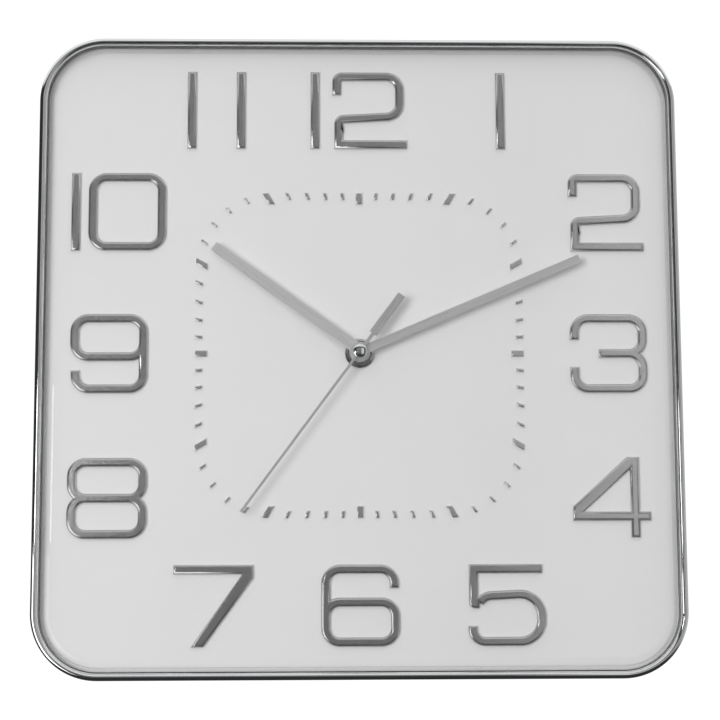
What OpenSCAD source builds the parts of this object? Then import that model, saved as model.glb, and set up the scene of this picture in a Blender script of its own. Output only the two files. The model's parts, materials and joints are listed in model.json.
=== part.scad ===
// Square quartz wall clock, 300 mm, with raised numerals and a chrome bezel.
// The origin is where the hand axis meets the wall. +Z is up, the wall is the plane Y = 0
// and the dial faces -Y. Every module draws flat, with x to the right, y up and z as the
// height above the wall, and face_front() stands the result up.

/* [Case] */
// Width and height of the square case
case_w = 300; // [290:1:320]
// Outer corner radius of the case
corner_r = 30.6; // [26:0.1:36]
// Width of the half-round chrome bead around the lens
bead_w = 3.5; // [3:0.1:3.8]
// Wall thickness of the rear housing
housing_wall = 2; // [1.6:0.1:2.4]

/* [Lens] */
// Thickness of the clear cover
lens_t = 1.8; // [1.4:0.1:2]
// Radius of the lens's rounded shoulder
lens_shoulder_r = 10; // [8:0.5:10]

/* [Dial] */
// Thickness of the dial plate
dial_t = 2.5; // [2:0.1:2.5]
// Distance of the numerals' centres from the dial's centre lines
numeral_ring = 116.5; // [112:0.5:117]
// Height of a numeral
numeral_h = 37.4; // [34:0.1:38]
// Stroke width of a numeral
stroke = 4.3; // [3.6:0.1:4.6]
// Thickness of the raised numerals
numeral_t = 1.8; // [1.2:0.1:2]
// Thickness of the raised minute and five-minute marks
mark_t = 1.2; // [0.8:0.1:1.6]
// Half width of the square minute track, to the marks' outer ends
track_half = 76.6; // [70:0.1:80]

/* [Hands] */
// Direction of the hour hand, in degrees clockwise from 12
hour_angle = 306; // [0:1:359]
// Direction of the minute hand, in degrees clockwise from 12
minute_angle = 66.85; // [0:0.05:359.95]
// Direction of the second hand, in degrees clockwise from 12
second_angle = 216.5; // [0:0.5:359.5]
// Length of the hour hand from the axis
hour_len = 84.5; // [70:0.5:88]
// Length of the minute hand from the axis
minute_len = 112; // [96:0.5:118]
// Length of the second hand's needle from the axis
second_len = 92; // [80:0.5:110]

/* [Movement] */
// Width and height of the quartz movement
movement_w = 56; // [56:1:57]
// Depth of the quartz movement, without its threaded bushing
movement_d = 15.6; // [15.6:0.1:16]

/* [Hidden] */
$fn = 48;

// Gaps and small shared values
eps = 0.01;
gap = 0.1;                // between pieces of one body that lie face to face
run = 0.06;               // radial clearance of a shaft that turns in a hole
half = case_w / 2;

// Heights above the wall
cover_z = movement_d - 1.2;                 // inner face of the movement's front cover
gasket_z = movement_d + gap;
gasket_t = 1;
dial_z = gasket_z + gasket_t + gap;         // back of the dial plate
face_z = dial_z + dial_t;                   // front of the dial plate
bead_z = face_z + 5;                        // centre of the chrome bead
lip_z = face_z + 2;                         // underside of the bezel's lip
lens_z = face_z + 13.5;                     // outer face of the lens
hour_hand_z = face_z + 4.6;
minute_hand_z = face_z + 6.4;
second_hand_z = face_z + 8.4;
hand_t = 0.6;

// Insets from the outer edge of the case
bezel_inner = 1.6;        // inner face of the bezel's skirt
bezel_back_z = 1.5;       // back edge of the bezel's skirt
skirt_taper = 0.8;        // how far the skirt leans in at its back edge
housing_inset = bezel_inner + 0.3;
dial_inset = 2.6;
lens_flange_inset = 2;
lens_inset = bead_w + 0.2;
ledge_w = 4;
snap_w = 12;              // length of one snap barb
snap_at = 70;             // barbs sit this far either side of each side's middle
snap_z = 4.2;
snap_h = 2.4;
snap_depth = 0.9;

// Keyhole hanger
keyhole_y = 108;
keyhole_r = 5;
keyhole_slot = 4.6;
keyhole_rise = 9;

// Movement: shell and battery bay
shell_t = 1.4;
back_t = 1.2;
m_half = movement_w / 2;
m_in = m_half - shell_t;
bay_wall_y = -10.4;
bay_wall_t = 1.2;
cell_r = 7.1;
cell_y = -(m_in + (-bay_wall_y + bay_wall_t)) / 2;
cell_z = cell_r + 0.1;

// Train: tooth counts and modules
n_rotor = 8;      n_fifth = 40;    mod_rotor = 0.30;
n_fifth_p = 8;    n_seconds = 48;  mod_fifth = 0.33;
n_seconds_p = 8;  n_third = 60;    mod_third = 0.27;
n_third_p = 8;    n_centre = 64;   mod_centre = 0.255;
n_cannon = 10;    n_minute = 30;   mod_work = 0.45;
n_minute_p = 8;   n_hour = 32;
n_knob = 12;

// Train: axes, seen from the front
third_dir = 135;
third_pos = polar(mod_third * (n_seconds_p + n_third) / 2, third_dir);
fifth_dir = 0;
fifth_pos = polar(mod_fifth * (n_fifth_p + n_seconds) / 2, fifth_dir);
rotor_dir = 60;
rotor_pos = fifth_pos + polar(mod_rotor * (n_rotor + n_fifth) / 2, rotor_dir);
minute_dir = 180;
minute_pos = polar(mod_work * (n_cannon + n_minute) / 2, minute_dir);
knob_dir = 180;
knob_pos = minute_pos + polar(mod_work * (n_minute + n_knob) / 2, knob_dir);

// Train: layers above the wall
fifth_z = 2.0;
seconds_z = 3.8;
stator_z = 4.0;
third_z = 5.6;
washer_z = 7.0;
centre_z = 7.6;
bridge_z = 9.0;
bridge_t = 1.2;
minute_z = 10.8;
hour_z = 12.6;
wheel_t = 0.8;
work_t = 1.2;
pivot_r = 0.35;
arbor_r = 0.5;
pivot_hole_r = pivot_r + run;

// Shafts and pipes on the centre axis
seconds_r = 0.5;
minute_pipe_r = 1.6;
hour_pipe_r = 2.5;
bushing_r = 4;
bushing_bore_r = hour_pipe_r + 0.08;
bushing_top = face_z + 3.8;
nut_r = 6.8;
nut_z = face_z + 0.5;
nut_t = 2.2;

// Setting knob
knob_r = 4.5;
knob_z = 0.3;
knob_t = 1.9;
knob_cup_r = knob_r + 0.7;
knob_cup_d = knob_z + knob_t + 0.2;

function polar(r, a) = [r * cos(a), r * sin(a)];

// Stands a flat drawing up so that its z points out of the wall.
module face_front() { rotate([90, 0, 0]) children(); }

module rounded_square(h, r) {
    square([2 * h, 2 * (h - r)], center = true);
    square([2 * (h - r), 2 * h], center = true);
    for (x = [-1, 1], y = [-1, 1]) translate([x * (h - r), y * (h - r)]) circle(r);
}

module rounded_plate(h, r, t) { linear_extrude(t) rounded_square(h, r); }

// Carries a profile round a rounded square. The profile's x = 0 is the outline.
module sweep_round(h, r) {
    for (k = [0:3]) rotate([0, 0, 90 * k]) {
        translate([h - r, h - r, 0]) rotate_extrude(angle = 90, $fn = 96) translate([r, 0]) children();
        translate([h, h - r, 0]) rotate([90, 0, 0]) linear_extrude(2 * (h - r)) children();
    }
}

module ring(ro, ri, t) {
    difference() {
        cylinder(r = ro, h = t);
        translate([0, 0, -eps]) cylinder(r = ri, h = t + 2 * eps);
    }
}

// ---------------------------------------------------------------- case

module bezel() {
    bead_r = bead_w / 2;
    color("silver") face_front() {
        sweep_round(half, corner_r) {
            translate([-bead_r, bead_z]) circle(bead_r);
            polygon([
                [0, bead_z], [-skirt_taper, bezel_back_z], [-bezel_inner, bezel_back_z],
                [-bezel_inner, lip_z], [-bead_w, lip_z], [-bead_w, bead_z]
            ]);
        }
        for (k = [0:3], s = [-1, 1])
            rotate([0, 0, 90 * k]) translate([half - bezel_inner - snap_depth, s * snap_at - snap_w / 2, snap_z])
                cube([snap_depth + eps, snap_w, snap_h]);
    }
}

module lens() {
    arc_z = lens_z - lens_shoulder_r;
    flange_z = face_z + 0.2;
    flange_t = 1.6;
    inner_r = lens_shoulder_r - lens_t;
    flat_half = half - lens_inset - lens_shoulder_r;
    color([0.9, 0.95, 1, 0.3]) face_front() {
        sweep_round(half, corner_r) {
            intersection() {
                translate([-lens_inset - lens_shoulder_r, arc_z]) difference() {
                    circle(lens_shoulder_r, $fn = 96);
                    circle(inner_r, $fn = 96);
                }
                translate([-lens_inset - lens_shoulder_r, arc_z]) square(2 * lens_shoulder_r);
            }
            translate([-lens_inset - lens_t, flange_z]) square([lens_t, arc_z - flange_z]);
            translate([-lens_inset - lens_t, flange_z]) square([lens_inset + lens_t - lens_flange_inset, flange_t]);
        }
        translate([0, 0, lens_z - lens_t])
            rounded_plate(flat_half, corner_r - lens_inset - lens_shoulder_r, lens_t);
    }
}

module dial_plate() {
    color("whitesmoke") face_front() translate([0, 0, dial_z]) difference() {
        rounded_plate(half - dial_inset, corner_r - dial_inset, dial_t);
        translate([0, 0, -eps]) cylinder(r = bushing_r + 0.15, h = dial_t + 2 * eps);
    }
}

module keyhole() {
    translate([0, keyhole_y]) circle(keyhole_r);
    translate([-keyhole_slot / 2, keyhole_y]) square([keyhole_slot, keyhole_rise]);
    translate([0, keyhole_y + keyhole_rise]) circle(keyhole_slot / 2);
}

module rear_housing() {
    outer = half - housing_inset;
    outer_r = corner_r - housing_inset;
    inner = outer - housing_wall;
    inner_r = outer_r - housing_wall;
    window = m_half + 1;
    frame_t = 1.6;
    frame_h = 8;
    rib_t = 1.6;
    rib_h = 6;
    pad_h = 1.2;
    floor_t = 2;
    // the back is sunk between its edge, the window's border and the hanger's pad
    panel_edge = 8;
    panel_d = 0.7;
    color("dimgray") face_front() difference() {
        union() {
            rounded_plate(outer, outer_r, floor_t);
            linear_extrude(dial_z - gap) difference() {
                rounded_square(outer, outer_r);
                rounded_square(inner, inner_r);
            }
            translate([0, 0, dial_z - gap - housing_wall]) linear_extrude(housing_wall) difference() {
                rounded_square(outer, outer_r);
                rounded_square(inner - ledge_w, inner_r - ledge_w);
            }
            linear_extrude(frame_h) square(2 * (window + frame_t), center = true);
            for (k = [0:3], s = [-1, 1]) rotate([0, 0, 90 * k])
                translate([window + frame_t - eps, s * (window - 4) - rib_t / 2, floor_t - eps])
                    cube([inner - window - frame_t + 2 * eps, rib_t, rib_h]);
            translate([-11, keyhole_y - 11, floor_t - eps]) cube([22, 29, pad_h]);
        }
        translate([0, 0, -eps]) linear_extrude(frame_h + 2 * eps) square(2 * window, center = true);
        translate([0, 0, -eps]) linear_extrude(floor_t + pad_h + 1) keyhole();
        translate([0, 0, -eps]) linear_extrude(panel_d + eps) difference() {
            rounded_square(outer - panel_edge, outer_r - panel_edge);
            rounded_square(window + panel_edge, 4);
            translate([0, keyhole_y + 4]) rounded_rect(34, 46, 6);
        }
        for (k = [0:3], s = [-1, 1])
            rotate([0, 0, 90 * k])
                translate([outer - snap_depth, s * snap_at - snap_w / 2 - 0.5, snap_z - 0.4])
                    cube([snap_depth + 1, snap_w + 1, snap_h + 0.8]);
    }
}

// ---------------------------------------------------------------- numerals

// One quarter of a stroke's ring, in the quadrant given by the signs sx and sy.
module corner(cx, cy, sx, sy, ro = 8.6, ri = 8.6 - stroke) {
    translate([cx, cy]) intersection() {
        difference() {
            circle(ro);
            circle(ri);
        }
        translate([sx > 0 ? 0 : -ro, sy > 0 ? 0 : -ro]) square(ro);
    }
}

module bar(x0, y0, x1, y1) { translate([x0, y0]) square([x1 - x0, y1 - y0]); }

// A closed ring stroke between x0..x1 and y0..y1.
module loop(x0, y0, x1, y1, r = 8.6) {
    difference() {
        translate([(x0 + x1) / 2, (y0 + y1) / 2]) rounded_rect(x1 - x0, y1 - y0, r);
        translate([(x0 + x1) / 2, (y0 + y1) / 2])
            rounded_rect(x1 - x0 - 2 * stroke, y1 - y0 - 2 * stroke, r - stroke);
    }
}

module rounded_rect(w, h, r) {
    square([w, h - 2 * r], center = true);
    square([w - 2 * r, h], center = true);
    for (x = [-1, 1], y = [-1, 1]) translate([x * (w / 2 - r), y * (h / 2 - r)]) circle(r);
}

top = numeral_h / 2;
wide = 18.1;              // half width of the round digits
bend = 8.6;               // outer radius of a stroke's bend

module digit_0() { loop(-wide - 0.2, -top, wide + 0.2, top); }

module digit_1() { bar(-stroke / 2, -top, stroke / 2, top); }

module digit_2() {
    right = 16.4;
    drop = 4.2;           // lower bend's outer bottom edge, below the middle
    heel = 4.5;           // radius of the small bends at the left
    lower = bend - drop - 1;
    difference() {
        union() {
            bar(-17.7, top - stroke, right - bend, top);
            bar(-17.7, 7.5, -17.7 + stroke, top);
        }
        translate([-17.7, top - heel]) difference() {
            translate([-1, 0]) square([heel + 1, heel + 1]);
            translate([heel, 0]) circle(heel);
        }
    }
    corner(right - bend, top - bend, 1, 1);
    bar(right - stroke, lower, right, top - bend);
    corner(right - bend, lower, 1, -1);
    polygon([
        [right - bend, lower - bend], [right - bend, lower - bend + stroke],
        [-12.3, lower - bend + stroke - 1.1], [-12.3, lower - bend - 1.1]
    ]);
    intersection() {
        translate([-12.3, lower - bend + stroke - 1.1 - heel]) circle(heel);
        bar(-16.8, -top, -12.3, top);
    }
    bar(-16.8, -top, -16.8 + stroke, lower - bend + stroke - 1.1 - heel);
    bar(-16.8, -top, 17.8, -top + stroke);
}

module digit_3() {
    for (s = [-1, 1]) mirror([0, s < 0 ? 1 : 0]) {
        bar(-wide + bend, top - stroke, wide - bend, top);
        corner(-wide + bend, top - bend, -1, 1);
        bar(-wide, 6.3, -wide + stroke, top - bend);
        corner(wide - bend, top - bend, 1, 1);
        bar(wide - stroke, bend - stroke / 2, wide, top - bend);
        corner(wide - bend, bend - stroke / 2, 1, -1);
    }
    bar(-4.6, -stroke / 2, wide - bend, stroke / 2);
}

module digit_4() {
    cross = -10.9;
    post = 8.7;
    difference() {
        polygon([
            [-wide, cross], [-wide, cross + 6.7], [7.2, top], [post + stroke, top],
            [post + stroke, cross + stroke], [wide, cross + stroke], [wide, cross],
            [post + stroke, cross], [post + stroke, -top], [post, -top], [post, cross]
        ]);
        polygon([[-13, cross + stroke], [post, cross + stroke], [post, top - 5.8]]);
    }
}

module digit_5() {
    bowl_r = 12;
    right = 17.9;
    bowl_top = 7;
    bar(-17.6, top - stroke, 16.3, top);
    bar(-17.6, 1.2, -17.6 + stroke, top);
    intersection() {
        translate([-14.8, 1.2]) circle(2.8);
        bar(-17.6, -1.6, -14.8, 1.2);
    }
    bar(-14.8, -1.6, -12.6, 4);
    translate([-7, -2.4]) intersection() {
        difference() {
            circle(8.8);
            circle(4.5);
        }
        polygon([[0, 0], [0, 10], [-10, 10], [-10, 5.8]]);
    }
    polygon([
        [right - bowl_r, bowl_top - stroke], [right - bowl_r, bowl_top],
        [-7, 6.4], [-7, 2.1]
    ]);
    corner(right - bowl_r, bowl_top - bowl_r, 1, 1, bowl_r, bowl_r - stroke);
    bar(right - stroke, -top + bowl_r, right, bowl_top - bowl_r);
    corner(right - bowl_r, -top + bowl_r, 1, -1, bowl_r, bowl_r - stroke);
    bar(-10.2, -top, right - bowl_r, -top + stroke);
    corner(-10.2, -top + 7.8, -1, -1, 7.8, 7.8 - stroke);
    bar(-18, -top + 7.8, -18 + stroke, -9.4);
}

module digit_6() {
    loop(-wide, -top, wide, 3.65);
    bar(-wide, -top + bend, -wide + stroke, top - bend);
    corner(-wide + bend, top - bend, -1, 1);
    bar(-wide + bend, top - stroke, wide - bend - 0.5, top);
    corner(wide - bend - 0.5, top - bend, 1, 1);
    bar(wide - stroke - 0.5, 7.85, wide - 0.5, top - bend);
}

module digit_7() {
    polygon([
        [-18.5, top], [18.3, top], [18.3, 12.7], [-4.5, -top],
        [-10.4, -top], [12.9, top - stroke], [-18.5, top - stroke]
    ]);
}

module digit_8() {
    loop(-wide - 0.4, -stroke / 2, wide + 0.4, top);
    loop(-wide - 0.4, -top, wide + 0.4, stroke / 2);
}

module digit_9() { rotate([0, 0, 180]) digit_6(); }

module numeral(n) {
    if (n == 1) digit_1();
    if (n == 2) digit_2();
    if (n == 3) digit_3();
    if (n == 4) digit_4();
    if (n == 5) digit_5();
    if (n == 6) digit_6();
    if (n == 7) digit_7();
    if (n == 8) digit_8();
    if (n == 9) digit_9();
    if (n == 10) {
        translate([-16.35, 0]) digit_1();
        translate([7.75, 0]) digit_0();
    }
    if (n == 11) for (s = [-1, 1]) translate([s * 11.6, 0]) digit_1();
    if (n == 12) {
        translate([-20.7, 0]) digit_1();
        translate([5.15, 0]) digit_2();
    }
}

// The numerals stand on a square, each where its own hour direction crosses the square.
function square_point(a, h) =
    h / max(abs(sin(a)), abs(cos(a))) * [sin(a), cos(a)];

module placed_numeral(n) {
    p = square_point(30 * n, numeral_ring);
    color("gray") face_front() translate([p[0], p[1], face_z]) linear_extrude(numeral_t) numeral(n);
}

// A mark runs along its own radius and is cut by two rounded squares.
module marks(first, step, w, len) {
    mark_r = 36;
    color("gray") face_front() for (a = [first:step:359]) {
        if (step == 30 || a % 30 != 0)
            translate([0, 0, face_z]) linear_extrude(mark_t) intersection() {
                difference() {
                    rounded_square(track_half, mark_r);
                    rounded_square(track_half - len, mark_r - len);
                }
                mark_w = w * max(abs(sin(a)), abs(cos(a)));
                rotate(-a) translate([-mark_w / 2, track_half / 2]) square([mark_w, track_half]);
            }
    }
}

// ---------------------------------------------------------------- hands

module pointed(a) { rotate([0, 0, -a]) children(); }

// A flat tapered blade, a round hub and a collet that grips a pipe. The blade may stand a
// little aside of the axis.
module hand(len, w0, w1, hub_r, pipe_r, collet_t, aside = 0) {
    grip = pipe_r + 0.02;
    difference() {
        union() {
            translate([aside, 0, 0]) linear_extrude(hand_t)
                polygon([[-w0 / 2, 0], [-w1 / 2, len], [w1 / 2, len], [w0 / 2, 0]]);
            cylinder(r = hub_r, h = hand_t);
            translate([0, 0, -collet_t]) cylinder(r = pipe_r + 1, h = collet_t + eps);
        }
        translate([0, 0, -collet_t - eps]) cylinder(r = grip, h = collet_t + hand_t + 2 * eps);
    }
}

module hour_hand() {
    color("darkgray") face_front() translate([0, 0, hour_hand_z]) pointed(hour_angle)
        hand(hour_len, 5.5, 4.7, 4.8, hour_pipe_r, 0.7, aside = 0.7);
}

module minute_hand() {
    color("darkgray") face_front() translate([0, 0, minute_hand_z]) pointed(minute_angle)
        hand(minute_len, 4.2, 4.1, 4.5, minute_pipe_r, 0.7);
}

module second_hand() {
    needle_w = 1.15;
    neck_w = 1.6;
    weight_w = 3.9;
    weight_from = 10.2;
    weight_to = 32.9;
    blade_t = 0.4;
    color("darkgray") face_front() translate([0, 0, second_hand_z]) pointed(second_angle) difference() {
        union() {
            linear_extrude(blade_t) {
                bar(-needle_w / 2, 0, needle_w / 2, second_len);
                bar(-neck_w / 2, -weight_from - eps, neck_w / 2, 0);
                bar(-weight_w / 2, -weight_to, weight_w / 2, -weight_from);
            }
            cylinder(r = 3, h = blade_t);
            translate([0, 0, -0.8]) cylinder(r = 1.1, h = 0.8 + eps);
        }
        translate([0, 0, -1]) cylinder(r = seconds_r + 0.02, h = 2);
    }
}

module second_hand_cap() {
    cap_r = 3.3;
    cap_t = 0.8;
    dome_h = 0.7;
    dome_r = (cap_r * cap_r + dome_h * dome_h) / (2 * dome_h);
    color("silver") face_front() translate([0, 0, second_hand_z + 0.4 + 0.02]) difference() {
        union() {
            cylinder(r = cap_r, h = cap_t);
            intersection() {
                translate([0, 0, cap_t + dome_h - dome_r]) sphere(dome_r);
                translate([0, 0, cap_t - eps]) cylinder(r = cap_r, h = dome_h + 1);
            }
        }
        translate([0, 0, -1]) cylinder(r = seconds_r + 0.02, h = 1.6);
    }
}

// ---------------------------------------------------------------- centre fixing

module fixing_nut() {
    chamfer = 1.1;
    color("dimgray") face_front() translate([0, 0, nut_z]) rotate_extrude() polygon([
        [bushing_r + 0.02, 0], [nut_r, 0], [nut_r, nut_t - chamfer],
        [nut_r - chamfer, nut_t], [bushing_r + 0.02, nut_t]
    ]);
}

module dial_washer() {
    color("silver") face_front() translate([0, 0, face_z + 0.02]) ring(nut_r - 0.1, bushing_r + 0.1, 0.4);
}

module rubber_gasket() {
    color("black") face_front() translate([0, 0, gasket_z]) ring(9, bushing_r + 0.1, gasket_t);
}

module threaded_bushing() {
    flange_t = 0.4;
    color("goldenrod") face_front() difference() {
        union() {
            translate([0, 0, cover_z]) cylinder(r = bushing_r, h = bushing_top - cover_z);
            translate([0, 0, cover_z - flange_t]) cylinder(r = 6, h = flange_t);
        }
        translate([0, 0, cover_z - 1]) cylinder(r = bushing_bore_r, h = bushing_top);
    }
}

// ---------------------------------------------------------------- movement shells

// Engraved beside the knob and above the battery: which way to set, and the battery's poles
module engraving() {
    arrow_r = 6.9;
    arrow_end = 165;
    line_w = 0.6;
    sign_l = 2.6;
    sign_y = -8.3;
    translate(knob_pos) {
        intersection() {
            difference() {
                circle(arrow_r + line_w / 2);
                circle(arrow_r - line_w / 2);
            }
            polygon([[0, 0], for (a = [40:25:arrow_end]) 2 * arrow_r * [cos(a), sin(a)]]);
        }
        rotate(arrow_end) translate([arrow_r, 0]) polygon([[-1.2, -0.1], [1.2, -0.1], [0, 2]]);
    }
    for (s = [-1, 1]) translate([s * 22.5, sign_y]) square([sign_l, line_w], center = true);
    translate([22.5, sign_y]) square([line_w, sign_l], center = true);
}

module movement_case() {
    engraving_d = 0.3;
    shell_r = 3;
    boss_r = 1.3;
    boss_t = 0.5;
    pivot_z = 0.6;
    color("black") face_front() difference() {
        union() {
            difference() {
                rounded_plate(m_half, shell_r, cover_z - gap);
                translate([0, 0, back_t]) rounded_plate(m_in, shell_r - shell_t, cover_z);
            }
            translate([-m_in - eps, bay_wall_y - bay_wall_t, 0]) cube([2 * m_in + 2 * eps, bay_wall_t, cover_z - gap]);
            translate([knob_pos[0], knob_pos[1], 0]) cylinder(r = knob_cup_r + 1.2, h = knob_cup_d + back_t);
            for (p = [[0, 0], third_pos, fifth_pos, rotor_pos])
                translate([p[0], p[1], back_t - eps]) cylinder(r = boss_r, h = boss_t);
        }
        translate([-m_in, -m_in, -eps]) cube([2 * m_in, m_in + bay_wall_y - bay_wall_t, back_t + 2 * eps]);
        translate([knob_pos[0], knob_pos[1], -eps]) cylinder(r = knob_cup_r, h = knob_cup_d);
        translate([knob_pos[0], knob_pos[1], -eps]) cylinder(r = 1 + run, h = knob_cup_d + back_t + 1);
        for (p = [[0, 0], third_pos, fifth_pos, rotor_pos])
            translate([p[0], p[1], pivot_z]) cylinder(r = pivot_hole_r, h = back_t + boss_t);
        translate([0, 0, -eps]) linear_extrude(engraving_d + eps) engraving();
    }
}

module movement_cover() {
    pivot_z = movement_d - 0.5;
    color("black") face_front() difference() {
        translate([0, 0, cover_z]) rounded_plate(m_half, 3, movement_d - cover_z);
        translate([0, 0, cover_z - 1]) cylinder(r = bushing_r + 0.02, h = 4);
        for (p = [minute_pos, knob_pos])
            translate([p[0], p[1], cover_z - 1]) cylinder(r = pivot_hole_r, h = pivot_z - cover_z + 1);
    }
}

module train_bridge() {
    left = -15.5;
    right = 17;
    low = -9.6;
    high = 11.5;
    post_r = 1.3;
    color("white") face_front() difference() {
        union() {
            translate([left, low, bridge_z]) cube([right - left, high - low, bridge_t]);
            for (p = [[-13.8, 9.6], [14.8, -7.6], [15.2, 9.8], [-13.8, -8]])
                translate([p[0], p[1], bridge_z]) cylinder(r = post_r, h = cover_z - gap - bridge_z);
        }
        translate([0, 0, bridge_z - 1]) cylinder(r = minute_pipe_r + run, h = bridge_t + 2);
        for (p = [third_pos, fifth_pos, rotor_pos])
            translate([p[0], p[1], bridge_z - 1]) cylinder(r = pivot_hole_r, h = bridge_t + 2);
        translate([minute_pos[0], minute_pos[1], bridge_z + 0.4]) cylinder(r = pivot_hole_r, h = bridge_t);
    }
}

// ---------------------------------------------------------------- wheels

// A wheel's outline: each tooth is a trapezoid. phase turns tooth 0 to that direction.
function tooth(n, m, phase, i) = let (
        pitch = 360 / n, a = phase + i * pitch,
        r_root = m * (n / 2 - 0.95), r_tip = m * (n / 2 + 0.7)
    ) [
        polar(r_root, a - 0.25 * pitch), polar(r_tip, a - 0.09 * pitch),
        polar(r_tip, a + 0.09 * pitch), polar(r_root, a + 0.25 * pitch)
    ];
module gear(n, m, phase, t) {
    linear_extrude(t) polygon([for (i = [0:n - 1]) each tooth(n, m, phase, i)]);
}
// Of each pair the pinion has a tooth on the line of centres and the wheel has a gap there.
function gap_phase(dir, n) = dir + 180 + 180 / n;

// A wheel with round holes between its rim and hub.
module spoked_gear(n, m, phase, t, hub_r) {
    holes = 5;
    rim = m * (n / 2 - 0.95) - 1;
    middle = (rim + hub_r) / 2;
    hole_r = min((rim - hub_r) / 2 - 0.15, middle * sin(180 / holes) - 0.3);
    difference() {
        gear(n, m, phase, t);
        for (k = [0:holes - 1]) rotate([0, 0, 360 / holes * k])
            translate([middle, 0, -eps]) cylinder(r = hole_r, h = t + 2 * eps);
    }
}

module at(p, z) { translate([p[0], p[1], z]) children(); }

// A thin pivot at each end of an arbor that runs from low to high.
module arbor(low, high, pivot_low, pivot_high) {
    translate([0, 0, low]) cylinder(r = arbor_r, h = high - low);
    translate([0, 0, pivot_low]) cylinder(r = pivot_r, h = low - pivot_low + eps);
    translate([0, 0, high - eps]) cylinder(r = pivot_r, h = pivot_high - high + eps);
}
pivot_low_z = 0.8;
arbor_low_z = 1.8;
arbor_high_z = bridge_z - 0.1;
pivot_high_z = bridge_z + bridge_t - 0.1;

module seconds_wheel() {
    tip_z = second_hand_z + 0.4 + 0.5;
    color("white") face_front() {
        translate([0, 0, seconds_z])
            spoked_gear(n_seconds, mod_fifth, gap_phase(fifth_dir + 180, n_seconds), wheel_t, 2);
        translate([0, 0, seconds_z + wheel_t - eps]) cylinder(r = 0.9, h = third_z - seconds_z - wheel_t);
        translate([0, 0, third_z - 0.2]) gear(n_seconds_p, mod_third, third_dir, wheel_t + 0.4);
        translate([0, 0, arbor_low_z]) cylinder(r = seconds_r, h = tip_z - arbor_low_z);
        translate([0, 0, pivot_low_z]) cylinder(r = pivot_r, h = 2);
    }
}

module third_wheel() {
    color("white") face_front() at(third_pos, 0) {
        translate([0, 0, third_z]) spoked_gear(n_third, mod_third, gap_phase(third_dir, n_third), wheel_t, 1.4);
        translate([0, 0, centre_z - 0.2]) gear(n_third_p, mod_centre, third_dir + 180, wheel_t + 0.4);
        arbor(arbor_low_z, arbor_high_z, pivot_low_z, pivot_high_z);
    }
}

module fifth_wheel() {
    color("white") face_front() at(fifth_pos, 0) {
        translate([0, 0, fifth_z]) spoked_gear(n_fifth, mod_rotor, gap_phase(rotor_dir + 180, n_fifth), wheel_t, 1.4);
        translate([0, 0, seconds_z - 0.2]) gear(n_fifth_p, mod_fifth, fifth_dir + 180, wheel_t + 0.4);
        arbor(arbor_low_z, arbor_high_z, pivot_low_z, pivot_high_z);
    }
}

module rotor() {
    color("white") face_front() at(rotor_pos, 0) {
        translate([0, 0, fifth_z - 0.2]) gear(n_rotor, mod_rotor, rotor_dir + 180, wheel_t + 0.4);
        arbor(arbor_low_z, arbor_high_z, pivot_low_z, pivot_high_z);
    }
}

module rotor_magnet() {
    color("dimgray") face_front() at(rotor_pos, stator_z - 0.6) ring(2.9, arbor_r + 0.02, 2);
}

module centre_wheel() {
    color("goldenrod") face_front() translate([0, 0, centre_z]) difference() {
        spoked_gear(n_centre, mod_centre, gap_phase(third_dir + 180, n_centre), wheel_t, 2.2);
        translate([0, 0, -eps]) cylinder(r = 1.3 + run, h = wheel_t + 2 * eps);
    }
}

module cannon_pinion() {
    neck_r = 1.3;
    neck_z = washer_z - 0.1;
    step_z = centre_z + wheel_t + 0.1;
    tip_z = minute_hand_z + hand_t;
    color("goldenrod") face_front() difference() {
        union() {
            translate([0, 0, neck_z]) cylinder(r = neck_r, h = step_z - neck_z + eps);
            translate([0, 0, step_z]) cylinder(r = minute_pipe_r, h = tip_z - step_z);
            translate([0, 0, minute_z - 0.2]) gear(n_cannon, mod_work, minute_dir, work_t + 0.4);
        }
        translate([0, 0, neck_z - eps]) cylinder(r = seconds_r + run, h = tip_z);
    }
}

module friction_washer() {
    color("silver") face_front() translate([0, 0, washer_z]) ring(3, 1.32, 0.4);
}

module minute_wheel() {
    color("white") face_front() at(minute_pos, 0) {
        translate([0, 0, minute_z]) spoked_gear(n_minute, mod_work, gap_phase(minute_dir, n_minute), work_t, 2.4);
        translate([0, 0, minute_z + work_t - eps]) cylinder(r = 1.3, h = hour_z - minute_z - work_t);
        translate([0, 0, hour_z - 0.3]) gear(n_minute_p, mod_work, minute_dir + 180, work_t + 0.4);
        translate([0, 0, bridge_z + 0.5]) cylinder(r = pivot_r, h = 1);
        translate([0, 0, bridge_z + bridge_t + 0.1]) cylinder(r = 1.1, h = 1);
        translate([0, 0, hour_z]) cylinder(r = pivot_r, h = movement_d - 0.6 - hour_z);
    }
}

module hour_wheel() {
    tip_z = hour_hand_z + hand_t;
    color("white") face_front() difference() {
        union() {
            translate([0, 0, hour_z]) gear(n_hour, mod_work, gap_phase(minute_dir + 180, n_hour), work_t);
            translate([0, 0, hour_z]) cylinder(r = hour_pipe_r, h = tip_z - hour_z);
        }
        translate([0, 0, hour_z - eps]) cylinder(r = minute_pipe_r + 0.08, h = tip_z);
    }
}

module setting_knob() {
    notch_r = 0.5;
    color("dimgray") face_front() at(knob_pos, 0) {
        difference() {
            translate([0, 0, knob_z]) cylinder(r = knob_r, h = knob_t);
            for (k = [0:15]) rotate([0, 0, 22.5 * k])
                translate([knob_r + 0.1, 0, knob_z - eps]) cylinder(r = notch_r, h = knob_t + 2 * eps, $fn = 24);
        }
        translate([0, 0, knob_z + knob_t - eps]) cylinder(r = 1, h = minute_z - knob_z - knob_t);
        translate([0, 0, minute_z - 0.2]) gear(n_knob, mod_work, knob_dir + 180, work_t + 0.4);
        translate([0, 0, minute_z]) cylinder(r = pivot_r, h = movement_d - 0.6 - minute_z);
    }
}

// ---------------------------------------------------------------- motor and electronics

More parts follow.
